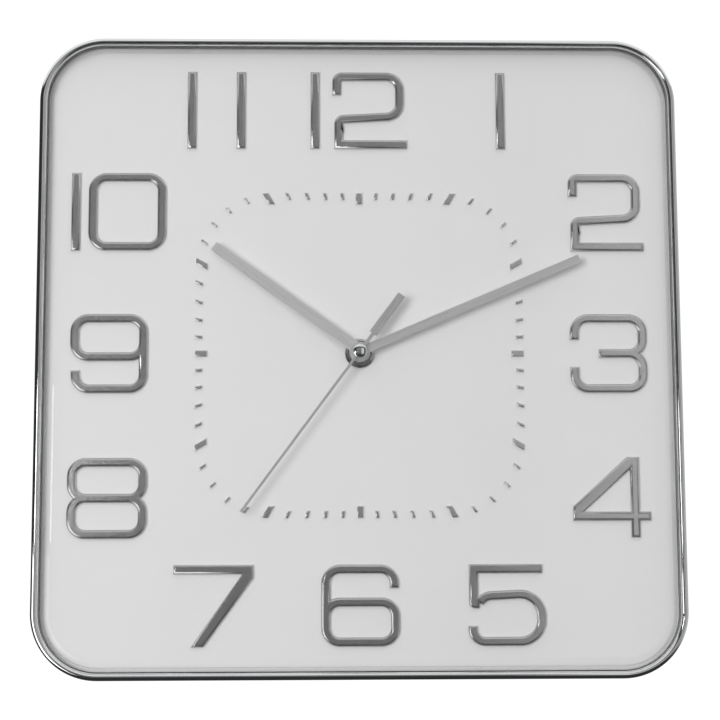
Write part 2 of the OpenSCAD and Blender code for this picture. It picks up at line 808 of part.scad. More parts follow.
coil_y = 21;
leg_w = 3.6;
leg_left = -4;
leg_right = 18.6;

module stator() {
    shoe_r = 5;
    hole_r = 3.3;
    leg_top = coil_y + 2;
    color("silver") face_front() translate([0, 0, stator_z]) linear_extrude(wheel_t) difference() {
        union() {
            translate(rotor_pos) circle(shoe_r);
            bar(6.6, 6.5, 10.2, 13.8);
            bar(leg_left, 10.4, 10.2, 13.8);
            bar(leg_left, 10.4, leg_left + leg_w, leg_top);
            bar(rotor_pos[0], 3.4, leg_right + leg_w, 8);
            bar(leg_right, 3.4, leg_right + leg_w, leg_top);
        }
        translate(rotor_pos) circle(hole_r);
    }
}

module coil_core() {
    color("silver") face_front() translate([leg_left, coil_y - 1.5, stator_z + wheel_t + 0.02])
        cube([leg_right + leg_w - leg_left, 3, wheel_t]);
}

core_z = stator_z + wheel_t * 1.5;
bobbin_x0 = leg_left + leg_w + 0.6;
bobbin_x1 = leg_right - 0.6;

module coil_bobbin() {
    flange = 3.4;
    tube_y = 2.2;
    tube_z = 1.2;
    flange_t = 0.8;
    color("white") face_front() difference() {
        union() {
            for (x = [bobbin_x0, bobbin_x1 - flange_t])
                translate([x, coil_y - flange, core_z - flange]) cube([flange_t, 2 * flange, 2 * flange]);
            translate([bobbin_x0, coil_y - tube_y, core_z - tube_z]) cube([bobbin_x1 - bobbin_x0, 2 * tube_y, 2 * tube_z]);
        }
        translate([bobbin_x0 - 1, coil_y - 1.6, core_z - 0.5]) cube([bobbin_x1 - bobbin_x0 + 2, 3.2, 1.0]);
    }
}

module coil_winding() {
    wound = 3;
    color("sienna") face_front() difference() {
        translate([bobbin_x0 + 0.9, coil_y - wound, core_z - wound])
            cube([bobbin_x1 - bobbin_x0 - 1.8, 2 * wound, 2 * wound]);
        translate([bobbin_x0 - 1, coil_y - 2.25, core_z - 1.25]) cube([bobbin_x1 - bobbin_x0 + 2, 4.5, 2.5]);
    }
}

board_z = 2.6;
board_t = 1;

module circuit_board() {
    color("darkgreen") face_front() translate([-26, 7.6, board_z]) cube([10, 17.9, board_t]);
}

module control_chip() {
    color("black") face_front() translate([-21.2, 12, board_z + board_t + 0.02]) cylinder(r = 2.6, h = 0.9);
}

module quartz_crystal() {
    can_r = 1;
    color("silver") face_front() translate([-24.5, 19.5, board_z + board_t + 0.02 + can_r])
        rotate([0, 90, 0]) cylinder(r = can_r, h = 6);
}

contact_x = m_in - 0.1;
module contact(side, bump_r, bump_h) {
    color("silver") face_front() mirror([side < 0 ? 1 : 0, 0, 0]) {
        translate([contact_x - 0.4, cell_y - 4.5, 2.5]) cube([0.4, 9, 10]);
        translate([contact_x - 0.4 - bump_h, cell_y, cell_z]) rotate([0, 90, 0]) cylinder(r = bump_r, h = bump_h + eps);
    }
}

module battery_contact_positive() { contact(1, 2.4, 0.5); }

module battery_contact_negative() { contact(-1, 3, 0.5); }

module battery() {
    can_x = -25.2;
    can_l = 49.5;
    nub_r = 2.7;
    nub_l = 1;
    color("darkorange") face_front() translate([can_x, cell_y, cell_z]) rotate([0, 90, 0]) {
        cylinder(r = cell_r, h = can_l);
        cylinder(r = nub_r, h = can_l + nub_l);
    }
}

bezel();
lens();
dial_plate();
rear_housing();
placed_numeral(1);  // numeral_1
placed_numeral(2);  // numeral_2
placed_numeral(3);  // numeral_3
placed_numeral(4);  // numeral_4
placed_numeral(5);  // numeral_5
placed_numeral(6);  // numeral_6
placed_numeral(7);  // numeral_7
placed_numeral(8);  // numeral_8
placed_numeral(9);  // numeral_9
placed_numeral(10);  // numeral_10
placed_numeral(11);  // numeral_11
placed_numeral(12);  // numeral_12
marks(0, 30, 3.1, 5.7);  // five_minute_marks
marks(6, 6, 1.7, 3.5);  // minute_marks
hour_hand();
minute_hand();
second_hand();
second_hand_cap();
fixing_nut();
dial_washer();
rubber_gasket();
threaded_bushing();
movement_case();
movement_cover();
train_bridge();
hour_wheel();
cannon_pinion();
friction_washer();
minute_wheel();
setting_knob();
centre_wheel();
third_wheel();
seconds_wheel();
fifth_wheel();
rotor();
rotor_magnet();
stator();
coil_core();
coil_bobbin();
coil_winding();
circuit_board();
control_chip();
quartz_crystal();
battery_contact_positive();
battery_contact_negative();
battery();
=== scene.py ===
"""Square quartz wall clock: chrome bezel, domed clear lens, raised silver numerals.

Everything is in metres. The wall is the plane Y = 0, the dial faces -Y and +Z is up.
"""
import json
import math
import bmesh
import bpy
from bpy.props import FloatProperty, FloatVectorProperty, PointerProperty
from mathutils import Matrix, Vector


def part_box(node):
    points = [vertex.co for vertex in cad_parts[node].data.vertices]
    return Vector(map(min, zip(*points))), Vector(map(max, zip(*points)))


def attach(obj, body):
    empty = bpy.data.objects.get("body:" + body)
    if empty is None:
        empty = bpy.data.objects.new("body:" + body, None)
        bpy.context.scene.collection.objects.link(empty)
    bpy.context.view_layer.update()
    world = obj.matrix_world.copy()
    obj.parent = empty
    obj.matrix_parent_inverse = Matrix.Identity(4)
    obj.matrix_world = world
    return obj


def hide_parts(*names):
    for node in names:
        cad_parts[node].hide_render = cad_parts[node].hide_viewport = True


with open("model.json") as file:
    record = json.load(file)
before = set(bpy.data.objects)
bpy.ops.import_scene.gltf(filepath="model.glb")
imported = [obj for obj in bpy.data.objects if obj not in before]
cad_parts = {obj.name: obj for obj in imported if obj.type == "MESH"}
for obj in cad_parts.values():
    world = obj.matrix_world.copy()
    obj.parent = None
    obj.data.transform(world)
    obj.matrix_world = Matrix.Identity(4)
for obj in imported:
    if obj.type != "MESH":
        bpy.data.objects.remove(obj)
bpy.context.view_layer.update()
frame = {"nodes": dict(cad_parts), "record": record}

bl_info = {
    "name": "Square Wall Clock",
    "version": (1, 0, 0),
    "blender": (4, 5, 0),
    "location": "View3D > Sidebar > Wall Clock",
    "description": "Builds a square battery wall clock around its working movement",
    "category": "Object",
}

MM = 0.001
NODES = frame["nodes"]
CASE = "clock_case"
BODY_OF = {n: b for b, group in frame["record"]["behaviour"]["bodies"].items() for n in group}


def front(node):
    """Y of the face of a CAD node that looks at the viewer."""
    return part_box(node)[0].y


def back(node):
    """Y of the face of a CAD node that looks at the wall."""
    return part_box(node)[1].y


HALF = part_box("bezel")[1].x         # half the width of the case
SEAL_WIDTH = 0.4 * MM               # dark seal between the bead and the lens
LENS_FLANGE = 1.6 * MM              # thickness of the lens's flat foot
CREASE = math.radians(50)           # corners sharper than this are rounded
SAME_LEVEL = 0.01 * MM              # points this close to a level lie on it
BRASS = (0.74, 0.56, 0.28)


# ------------------------------------------------------------------ settings

class ClockSizes(bpy.types.PropertyGroup):
    """Sizes of the finished pieces, on top of what the working model fixes."""
    corner_radius: FloatProperty(
        name="Corner radius", description="Outer corner radius of the case",
        default=30.6 * MM, unit="LENGTH")
    bead_width: FloatProperty(
        name="Bead width", description="Width of the half-round chrome bead",
        default=3.5 * MM, unit="LENGTH")
    lens_thickness: FloatProperty(
        name="Lens thickness", description="Wall thickness of the clear cover",
        default=1.8 * MM, unit="LENGTH")
    lens_shoulder: FloatProperty(
        name="Lens shoulder", description="Outer radius of the cover's rounded edge",
        default=6 * MM, unit="LENGTH")
    numeral_bevel: FloatProperty(
        name="Numeral bevel", description="Width of the rounded edge on each numeral",
        default=1.15 * MM, unit="LENGTH")
    mark_bevel: FloatProperty(
        name="Mark bevel", description="Width of the rounded edge on each minute mark",
        default=0.5 * MM, unit="LENGTH")
    hand_bevel: FloatProperty(
        name="Hand bevel", description="Width of the rolled edge on each hand",
        default=0.12 * MM, unit="LENGTH")
    case_bevel: FloatProperty(
        name="Case bevel", description="Edge rounding of the moulded plastic parts",
        default=0.3 * MM, unit="LENGTH")


class ClockColours(bpy.types.PropertyGroup):
    """Colours of the finishes."""
    chrome: FloatVectorProperty(
        name="Chrome", description="Tint of the bright plating", subtype="COLOR",
        default=(0.86, 0.87, 0.88), min=0, max=1)
    dial: FloatVectorProperty(
        name="Dial", description="Colour of the dial's satin paint", subtype="COLOR",
        default=(0.80, 0.80, 0.80), min=0, max=1)
    numeral: FloatVectorProperty(
        name="Numerals", description="Colour of the numerals' satin plating", subtype="COLOR",
        default=(0.57, 0.57, 0.575), min=0, max=1)
    hand: FloatVectorProperty(
        name="Hands", description="Colour of the brushed hands", subtype="COLOR",
        default=(0.78, 0.78, 0.78), min=0, max=1)
    housing: FloatVectorProperty(
        name="Housing", description="Colour of the rear housing", subtype="COLOR",
        default=(0.035, 0.035, 0.037), min=0, max=1)
    movement: FloatVectorProperty(
        name="Movement", description="Colour of the movement's shells", subtype="COLOR",
        default=(0.012, 0.012, 0.013), min=0, max=1)
    cell_band: FloatVectorProperty(
        name="Battery band", description="Colour of the band on the battery's wrap",
        subtype="COLOR", default=(0.05, 0.16, 0.34), min=0, max=1)


def sizes():
    return bpy.context.scene.clock_sizes


def colours():
    return bpy.context.scene.clock_colours


# ------------------------------------------------------------------ materials

class Nodes:
    """A node tree under construction."""

    def __init__(self, tree):
        self.tree = tree

    def add(self, kind, **values):
        """A new node; a value goes to the input of its name, or else to the node's own setting."""
        node = self.tree.nodes.new(kind)
        for key, value in values.items():
            name = key.replace("_", " ")
            if name in node.inputs:
                node.inputs[name].default_value = value
            else:
                setattr(node, key, value)
        return node

    def link(self, source, target):
        self.tree.links.new(source, target)

    def feed(self, socket, value):
        """Sets a number on a socket, or links another socket to it."""
        if isinstance(value, (int, float)):
            socket.default_value = value
        else:
            self.link(value, socket)

    def math(self, operation, a, b):
        node = self.add("ShaderNodeMath", operation=operation)
        self.feed(node.inputs[0], a)
        self.feed(node.inputs[1], b)
        return node.outputs["Value"]

    def ramp(self, source, low, high, out_low=0.0, out_high=1.0, kind="LINEAR"):
        """Carries low..high over to out_low..out_high."""
        node = self.add("ShaderNodeMapRange", interpolation_type=kind)
        for name, number in (("From Min", low), ("From Max", high),
                             ("To Min", out_low), ("To Max", out_high)):
            node.inputs[name].default_value = number
        self.link(source, node.inputs["Value"])
        return node.outputs["Result"]


class Finish(Nodes):
    """A material under construction: one Principled shader and what feeds it."""

    def __init__(self, name, colour, metallic=0.0, roughness=0.5):
        self.material = bpy.data.materials.new(name)
        self.material.use_nodes = True
        super().__init__(self.material.node_tree)
        self.shader = self.tree.nodes["Principled BSDF"]
        self.shader.inputs["Base Color"].default_value = (*colour, 1)
        self.shader.inputs["Metallic"].default_value = metallic
        self.shader.inputs["Roughness"].default_value = roughness
        self.colour = tuple(colour)
        self.coords = self.add("ShaderNodeTexCoord").outputs["Object"]

    def place(self, scale=(1, 1, 1), turn=(0, 0, 0), shift=(0, 0, 0)):
        """Object coordinates moved, then turned, then scaled for one pattern."""
        vector = self.coords
        for step in ({"Location": shift}, {"Rotation": turn}, {"Scale": scale}):
            mapping = self.add("ShaderNodeMapping", **step)
            self.link(vector, mapping.inputs["Vector"])
            vector = mapping.outputs["Vector"]
        return vector

    def noise(self, scale, detail, place=None):
        node = self.add("ShaderNodeTexNoise", Scale=scale, Detail=detail, Roughness=0.55)
        self.link(place or self.coords, node.inputs["Vector"])
        return node.outputs["Fac"]

    def mix(self, factor, a, b):
        """Colour a where the factor is 0 and b where it is 1."""
        node = self.add("ShaderNodeMix", data_type="RGBA")
        self.link(factor, node.inputs["Factor"])
        for socket, value in ((node.inputs[6], a), (node.inputs[7], b)):
            if isinstance(value, tuple):
                socket.default_value = (*value, 1)
            else:
                self.link(value, socket)
        return node.outputs[2]

    def tone(self, factor, darker, lighter):
        """Lets the base colour drift between a darker and a lighter shade."""
        dark = tuple(c * darker for c in self.colour)
        light = tuple(min(1.0, c * lighter) for c in self.colour)
        self.link(self.mix(factor, dark, light), self.shader.inputs["Base Color"])

    def roughen(self, factor, low, high):
        """Lets the roughness drift between low and high."""
        self.link(self.ramp(factor, 0.3, 0.7, low, high), self.shader.inputs["Roughness"])

    def bump(self, height, distance, strength=1.0):
        """Relief of the given depth in metres."""
        node = self.add("ShaderNodeBump", Strength=strength, Distance=distance)
        self.link(height, node.inputs["Height"])
        self.link(node.outputs["Normal"], self.shader.inputs["Normal"])


def chrome():
    """Bright plating with a faint haze and a slightly uneven surface."""
    f = Finish("chrome_plate", colours().chrome, 1.0, 0.06)
    f.tone(f.noise(55, 4), 0.96, 1.02)
    f.roughen(f.noise(420, 3), 0.035, 0.09)
    f.bump(f.noise(38, 2), 0.02 * MM)
    return f.material


def clear_plastic():
    """Clear moulding: seen straight through, with a skin of reflection that grows at the edges."""
    material = bpy.data.materials.new("clear_lens")
    material.use_nodes = True
    n = Nodes(material.node_tree)
    n.tree.nodes.clear()
    through = n.add("ShaderNodeBsdfTransparent", Color=(0.99, 0.99, 0.99, 1))
    haze = n.add("ShaderNodeTexNoise", Scale=60, Detail=3)
    n.link(n.add("ShaderNodeTexCoord").outputs["Object"], haze.inputs["Vector"])
    ripple = n.add("ShaderNodeBump", Distance=0.01 * MM, Strength=0.5)
    n.link(haze.outputs["Fac"], ripple.inputs["Height"])
    gloss = n.add("ShaderNodeBsdfGlossy")
    n.link(n.ramp(haze.outputs["Fac"], 0, 1, 0.02, 0.05), gloss.inputs["Roughness"])
    n.link(ripple.outputs["Normal"], gloss.inputs["Normal"])
    graze = n.add("ShaderNodeLayerWeight", Blend=0.5)
    steep = n.math("POWER", graze.outputs["Facing"], 5)
    mix = n.add("ShaderNodeMixShader")
    n.link(n.ramp(steep, 0, 1, 0.03, 0.75), mix.inputs["Fac"])
    n.link(through.outputs["BSDF"], mix.inputs[1])
    n.link(gloss.outputs["BSDF"], mix.inputs[2])
    n.link(mix.outputs["Shader"], n.add("ShaderNodeOutputMaterial").inputs["Surface"])
    return material


def dial_paint():
    """Satin paint with a very fine grain."""
    f = Finish("dial_paint", colours().dial, 0.0, 0.42)
    grain = f.noise(5200, 3)
    f.tone(f.noise(30, 3), 0.975, 1.0)
    f.roughen(grain, 0.36, 0.5)
    f.bump(grain, 0.006 * MM, 0.6)
    return f.material


def satin_silver(name, lift=1.0):
    """Satin plating with a fine upright grain; lift makes a lighter copy of it, which is painted
    light.
    """
    f = Finish(name, [c * lift for c in colours().numeral], 0.9, 0.24)
    grain = f.noise(1, 3, f.place(scale=(4200, 900, 240)))
    f.tone(f.noise(60, 3), 0.93, 1.05)
    f.roughen(grain, 0.13, 0.22)
    f.bump(grain, 0.002 * MM, 0.35)
    return f.material


def brushed(name, colour, angle):
    """Sheet metal brushed along a direction given in degrees clockwise from 12."""
    f = Finish(name, colour, 0.65, 0.34)
    turn = (0, -math.radians(angle), 0)
    lines = f.noise(1, 4, f.place(scale=(5000, 2500, 60), turn=turn))
    broad = f.noise(1, 3, f.place(scale=(1500, 600, 22), turn=turn))
    f.tone(broad, 0.86, 1.1)
    f.roughen(lines, 0.26, 0.42)
    f.bump(lines, 0.006 * MM, 0.5)
    return f.material


def turned(name, colour, node, low=0.2, high=0.36):
    """Metal turned on a lathe about the middle of a CAD node: fine rings on its ends."""
    f = Finish(name, colour, 1.0, 0.28)
    lo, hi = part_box(node)
    centre = (lo + hi) / 2
    place = f.place(shift=(-centre.x, 0, -centre.z))
    rings = f.add("ShaderNodeTexWave", wave_type="RINGS", rings_direction="Y",
                  Scale=1400, Distortion=1.2, Detail=2)
    f.link(place, rings.inputs["Vector"])
    f.tone(f.noise(600, 3), 0.88, 1.08)
    f.roughen(rings.outputs["Fac"], low, high)
    f.bump(rings.outputs["Fac"], 0.004 * MM, 0.5)
    return f.material


def sheet_steel():
    """Rolled sheet, its fine lines along X."""
    f = Finish("rolled_sheet", (0.62, 0.62, 0.63), 1.0, 0.32)
    rolled = f.noise(1, 3, f.place(scale=(260, 3200, 3200)))
    f.tone(f.noise(220, 4), 0.82, 1.08)
    f.roughen(rolled, 0.24, 0.42)
    f.bump(rolled, 0.006 * MM, 0.5)
    return f.material


def moulded(name, colour, low=0.42, high=0.6, pebble=2600, depth=0.03 * MM):
    """Moulded plastic with a spark-eroded pebble and faint flow marks."""
    f = Finish(name, colour, 0.0, 0.5)
    f.shader.inputs["Specular IOR Level"].default_value = 0.45
    grain = f.add("ShaderNodeTexVoronoi", feature="SMOOTH_F1", Scale=pebble, Smoothness=0.8)
    f.link(f.coords, grain.inputs["Vector"])
    speck = f.noise(pebble * 2.2, 2)
    height = f.math("ADD", grain.outputs["Distance"], f.math("MULTIPLY", speck, 0.4))
    f.tone(f.noise(24, 5), 0.86, 1.16)
    f.roughen(f.noise(160, 4), low, high)
    f.bump(height, depth, 0.6)
    return f.material


def acetal():
    """Uncoloured gear plastic that lets a little light in."""
    f = Finish("natural_acetal", (0.86, 0.85, 0.80), 0.0, 0.36)
    f.shader.inputs["Subsurface Weight"].default_value = 0.15
    f.shader.inputs["Subsurface Radius"].default_value = (0.6 * MM, 0.5 * MM, 0.4 * MM)
    f.shader.inputs["Subsurface Scale"].default_value = 1.0
    f.tone(f.noise(300, 3), 0.94, 1.03)
    f.roughen(f.noise(900, 3), 0.28, 0.46)
    f.bump(f.noise(2400, 2), 0.01 * MM, 0.4)
    return f.material


def magnet():
    """Dark, grainy sintered magnet."""
    f = Finish("sintered_magnet", (0.09, 0.09, 0.095), 0.7, 0.5)
    grain = f.noise(3600, 4)
    f.tone(grain, 0.7, 1.3)
    f.roughen(grain, 0.4, 0.65)
    f.bump(grain, 0.02 * MM, 0.6)
    return f.material


def black_rubber():
    """Matt rubber with a dry, dusty grain."""
    f = Finish("black_rubber", (0.015, 0.015, 0.016), 0.0, 0.7)
    grain = f.noise(2200, 4)
    f.tone(f.noise(120, 3), 0.8, 1.3)
    f.roughen(grain, 0.6, 0.85)
    f.bump(grain, 0.03 * MM, 0.7)
    return f.material


def copper_winding():
    """Enamelled wire, wound in close turns across the coil, with painted shade in the grooves
    between turns and a painted highlight on their crests.
    """
    f = Finish("enamelled_winding", (0.58, 0.22, 0.07), 0.85, 0.28)
    turns = f.add("ShaderNodeTexWave", bands_direction="X", Scale=1650, Distortion=0.6, Detail=1)
    f.link(f.coords, turns.inputs["Vector"])
    # painted shade and highlight: darker in the grooves between turns, lighter on their crests
    f.tone(turns.outputs["Fac"], 0.55, 1.15)
    f.roughen(f.noise(700, 3), 0.2, 0.36)
    f.bump(turns.outputs["Fac"], 0.05 * MM, 0.9)
    return f.material


def solder_mask():
    """Green board with tracks showing as a raised pattern under the mask."""
    f = Finish("solder_mask", (0.02, 0.13, 0.05), 0.0, 0.3)
    tracks = f.add("ShaderNodeTexBrick", Scale=260, offset=0.5)
    tracks.inputs["Mortar Size"].default_value = 0.09
    f.link(f.place(turn=(math.pi / 2, 0, 0)), tracks.inputs["Vector"])
    f.tone(tracks.outputs["Fac"], 0.8, 1.9)
    f.roughen(f.noise(500, 3), 0.22, 0.38)
    f.bump(tracks.outputs["Fac"], 0.03 * MM, 0.8)
    return f.material


def cell_wrap():
    """Printed wrap of the battery: plain pale metal with a coloured band at the positive end."""
    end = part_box("battery")[1].x
    band_colour = tuple(colours().cell_band)
    f = Finish("cell_wrap", (0.62, 0.64, 0.66), 0.55, 0.32)
    split = f.add("ShaderNodeSeparateXYZ")
    f.link(f.coords, split.inputs["Vector"])
    along = split.outputs["X"]
    band = f.ramp(along, end - 15.1 * MM, end - 15.0 * MM)
    line = f.math("COMPARE", along, end - 17 * MM)
    line.node.inputs[2].default_value = 0.35 * MM
    wear = f.noise(350, 4)
    body = f.mix(wear, (0.52, 0.54, 0.56), (0.68, 0.70, 0.72))
    banded = f.mix(line, f.mix(band, body, band_colour), band_colour)
    f.link(banded, f.shader.inputs["Base Color"])
    f.roughen(f.noise(240, 4), 0.24, 0.42)
    f.bump(wear, 0.01 * MM, 0.4)
    return f.material


MAKERS = {
    "chrome": chrome,
    "lens": clear_plastic,
    "dial": dial_paint,
    "silver": lambda: satin_silver("satin_silver"),
    # painted light: the marks' plating is the numerals' plating made lighter
    "silver_painted_lighter": lambda: satin_silver("satin_silver_marks", 1.35),
    "steel": sheet_steel,
    "rubber": black_rubber,
    "acetal": acetal,
    "magnet": magnet,
    "winding": copper_winding,
    "board": solder_mask,
    "cell": cell_wrap,
    "housing": lambda: moulded(
        "housing_plastic", colours().housing, pebble=1500, depth=0.06 * MM),
    "movement": lambda: moulded("movement_plastic", colours().movement, 0.34, 0.5, 2600),
    "knob": lambda: moulded("knob_plastic", (0.05, 0.05, 0.052), 0.3, 0.46, 3000),
    "chip": lambda: moulded("potting_compound", (0.01, 0.01, 0.011), 0.18, 0.34, 900),
}
FINISHES = {}


def finish_of(name):
    """Each shared finish is made once, on first use."""
    if name not in FINISHES:
        FINISHES[name] = MAKERS[name]()
    return FINISHES[name]


# ------------------------------------------------------------------ mesh helpers

def soften(bm, angle):
    """Smooth shading, but flat on faces that look straight along Y and crisp past the angle."""
    limit = math.radians(angle)
    for face in bm.faces:
        face.smooth = abs(face.normal.y) < 0.999
    for edge in bm.edges:
        edge.smooth = len(edge.link_faces) == 2 and edge.calc_face_angle(0) < limit


def finish_piece(bm, name, body, material, replaces=(), angle=35.0, recalc=True):
    """Turns a bmesh into a finished piece that rides on its body."""
    if recalc:
        bmesh.ops.recalc_face_normals(bm, faces=bm.faces)
    soften(bm, angle)
    mesh = bpy.data.meshes.new(name)
    bm.to_mesh(mesh)
    bm.free()
    piece = bpy.data.objects.new(name, mesh)
    bpy.context.scene.collection.objects.link(piece)
    mesh.materials.append(material)
    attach(piece, body)
    if replaces:
        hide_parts(*replaces)


def paint(node, material):
    """Gives a carried-over CAD node its finish."""
    mesh = NODES[node].data
    mesh.materials.clear()
    mesh.materials.append(material)


def rounded_copy(node, level, width, segments=2):
    """A CAD node as whole faces, with the corners of its face at Y = level rounded."""
    bm = bmesh.new()
    bm.from_mesh(NODES[node].data)
    bmesh.ops.remove_doubles(bm, verts=bm.verts, dist=0.002 * MM)
    bmesh.ops.dissolve_limit(bm, angle_limit=math.radians(0.5), verts=bm.verts, edges=bm.edges)
    rim = [e for e in bm.edges if len(e.link_faces) == 2 and e.calc_face_angle(0) > CREASE
           and all(abs(v.co.y - level) < SAME_LEVEL for v in e.verts)]
    bmesh.ops.bevel(bm, geom=rim, offset=width, offset_type="OFFSET", affect="EDGES",
                    segments=segments, profile=0.5, material=-1, clamp_overlap=False)
    return bm


def only(kind, geometry):
    """The elements of one kind, such as the edges."""
    return [g for g in geometry if isinstance(g, kind)]


class Section:
    """Draws a cross-section with lines and arcs, from (inset, height) points in metres.

    The section stands at the lower end of the case's right side, ready to be carried round.
    """

    def __init__(self, inset, height):
        self.bm = bmesh.new()
        self.z = sizes().corner_radius - HALF
        self.tip = self.bm.verts.new(self.at(inset, height))
        self.first = self.tip

    def at(self, inset, height):
        return Vector((HALF - inset, -height, self.z))

    def line(self, inset, height):
        """Draws on to a point, given as distance in from the side and height off the wall."""
        made = bmesh.ops.extrude_vert_indiv(self.bm, verts=[self.tip])["verts"][0]
        made.co = self.at(inset, height)
        self.tip = made

    def arc(self, inset, height, degrees, steps):
        """Turns the tip about the point (inset, height); positive turns run outwards to front."""
        made = bmesh.ops.spin(
            self.bm, geom=[self.tip], cent=self.at(inset, height), axis=(0, 0, 1),
            angle=math.radians(degrees), steps=steps, use_merge=False, use_duplicate=False)
        self.tip = only(bmesh.types.BMVert, made["geom_last"])[0]

    def close(self):
        self.bm.edges.new((self.tip, self.first))

    def carry_round(self, steps=40):
        """Takes the section along all four sides and round all four corners."""
        bm, radius = self.bm, sizes().corner_radius
        live = list(bm.verts) + list(bm.edges)
        for side in range(4):
            turn = Matrix.Rotation(-side * math.pi / 2, 3, "Y")
            ran = bmesh.ops.extrude_edge_only(bm, edges=only(bmesh.types.BMEdge, live))["geom"]
            live = only((bmesh.types.BMVert, bmesh.types.BMEdge), ran)
            run = turn @ Vector((0, 0, 2 * (HALF - radius)))
            bmesh.ops.translate(bm, vec=run, verts=only(bmesh.types.BMVert, live))
            centre = turn @ Vector((HALF - radius, 0, HALF - radius))
            made = bmesh.ops.spin(
                bm, geom=live, cent=centre, axis=(0, -1, 0), angle=math.pi / 2, steps=steps,
                use_merge=False, use_duplicate=False)
            live = made["geom_last"]
        bmesh.ops.remove_doubles(bm, verts=bm.verts, dist=0.005 * MM)
        return bm


def lathe(points, centre):
    """A closed round piece about an axis along Y through centre, from (radius, y) points.

    The line of points runs from axis to axis, or comes back to where it starts.
    """
    bm = bmesh.new()
    verts = [bm.verts.new((centre.x + r, y, centre.z)) for r, y in points]
    edges = [bm.edges.new(pair) for pair in zip(verts, verts[1:])]
    bmesh.ops.spin(bm, geom=verts + edges, cent=(centre.x, 0, centre.z), axis=(0, 1, 0),
                   angle=2 * math.pi, steps=72, use_merge=True, use_duplicate=False)
    bmesh.ops.remove_doubles(bm, verts=bm.verts, dist=0.001 * MM)
    return bm


# ------------------------------------------------------------------ pieces

class CLOCK_OT_bezel(bpy.types.Operator):
    """Chrome bezel: a half-round bead round the lens over a leaning skirt"""
    bl_idname = "clock.bezel"
    bl_label = "Bezel"

    def execute(self, context):
        bead = sizes().bead_width
        bead_h = -front("bezel") - bead / 2
        back_h = -back("bezel")
        lip_h = -front("dial_plate") + 2 * MM
        edge_h = back_h + 0.4 * MM
        inside, inside_foot = 1.6 * MM, 1.48 * MM
        skirt, skirt_foot = 0.79 * MM, 0.9 * MM
        section = Section(0, bead_h)
        section.arc(bead / 2, bead_h, -180, 28)
        section.line(bead, lip_h)
        section.line(inside, lip_h)
        section.line(inside, edge_h)
        section.line(inside_foot, back_h)
        section.line(skirt_foot, back_h)
        section.line(skirt, edge_h)
        section.close()
        bm = section.carry_round()
        finish_piece(bm, "bezel_shell", CASE, finish_of("chrome"), ["bezel"])
        return {"FINISHED"}


class CLOCK_OT_seal(bpy.types.Operator):
    """Thin black seal between the bead and the lens"""
    bl_idname = "clock.seal"
    bl_label = "Lens seal"

    def execute(self, context):
        bead = sizes().bead_width
        inner, outer = bead + 0.02 * MM, bead + SEAL_WIDTH
        chamfer, chamfer_h = 0.12 * MM, 0.3 * MM
        foot = -back("lens") + LENS_FLANGE + 0.05 * MM
        crown = -front("bezel") - bead / 2
        section = Section(inner, foot)
        section.line(inner, crown - chamfer_h)
        section.line(bead + chamfer, crown)
        section.line(outer - chamfer, crown)
        section.line(outer, crown - chamfer_h)
        section.line(outer, foot)
        section.close()
        bm = section.carry_round()
        finish_piece(bm, "lens_seal", CASE, finish_of("rubber"))
        return {"FINISHED"}


class CLOCK_OT_lens(bpy.types.Operator):
    """Domed clear cover with a flange that the bezel holds down"""
    bl_idname = "clock.lens"
    bl_label = "Lens"

    def execute(self, context):
        s = sizes()
        top, foot = -front("lens"), -back("lens")
        outer = s.bead_width + SEAL_WIDTH + 0.03 * MM
        inner = outer + s.lens_thickness
        middle, shoulder_h = outer + s.lens_shoulder, top - s.lens_shoulder
        flange = 2 * MM
        section = Section(middle, top)
        section.arc(middle, shoulder_h, 90, 18)
        section.line(outer, foot + LENS_FLANGE)
        section.line(flange, foot + LENS_FLANGE)
        section.line(flange, foot)
        section.line(inner, foot)
        section.line(inner, shoulder_h)
        section.arc(middle, shoulder_h, -90, 14)
        bm = section.carry_round()
        rims = [e for e in bm.edges if len(e.link_faces) == 1]
        bmesh.ops.edgeloop_fill(bm, edges=rims)
        finish_piece(bm, "lens_cover", CASE, finish_of("lens"), ["lens"])
        return {"FINISHED"}


class CLOCK_OT_housing(bpy.types.Operator):
    """Rear housing: a textured tray with softened edges and a keyhole hanger"""
    bl_idname = "clock.housing"
    bl_label = "Rear housing"

    def execute(self, context):
        bm = rounded_copy("rear_housing", back("rear_housing"), sizes().case_bevel)
        finish_piece(bm, "housing_tray", CASE, finish_of("housing"),
                     ["rear_housing"], recalc=False)
        return {"FINISHED"}


class CLOCK_OT_dial(bpy.types.Operator):
    """Satin dial with its raised numerals and minute track"""
    bl_idname = "clock.dial"
    bl_label = "Dial, numerals and marks"

    def execute(self, context):
        s = sizes()
        paint("dial_plate", finish_of("dial"))
        for hour in range(1, 13):
            self.raise_metal(f"numeral_{hour}", s.numeral_bevel, 4)
        self.raise_metal("five_minute_marks", s.mark_bevel, 3)
        self.raise_metal("minute_marks", s.mark_bevel, 3)
        return {"FINISHED"}

    @staticmethod
    def raise_metal(node, width, segments):
        """A plated numeral or set of marks with a rounded rim."""
        bm = rounded_copy(node, front(node), width, segments)
        # the marks take the lighter copy of the plating, which is painted light
        finish = finish_of("silver_painted_lighter" if node.endswith("marks") else "silver")
        finish_piece(bm, node + "_plated", CASE, finish, [node],
                     angle=50, recalc=False)


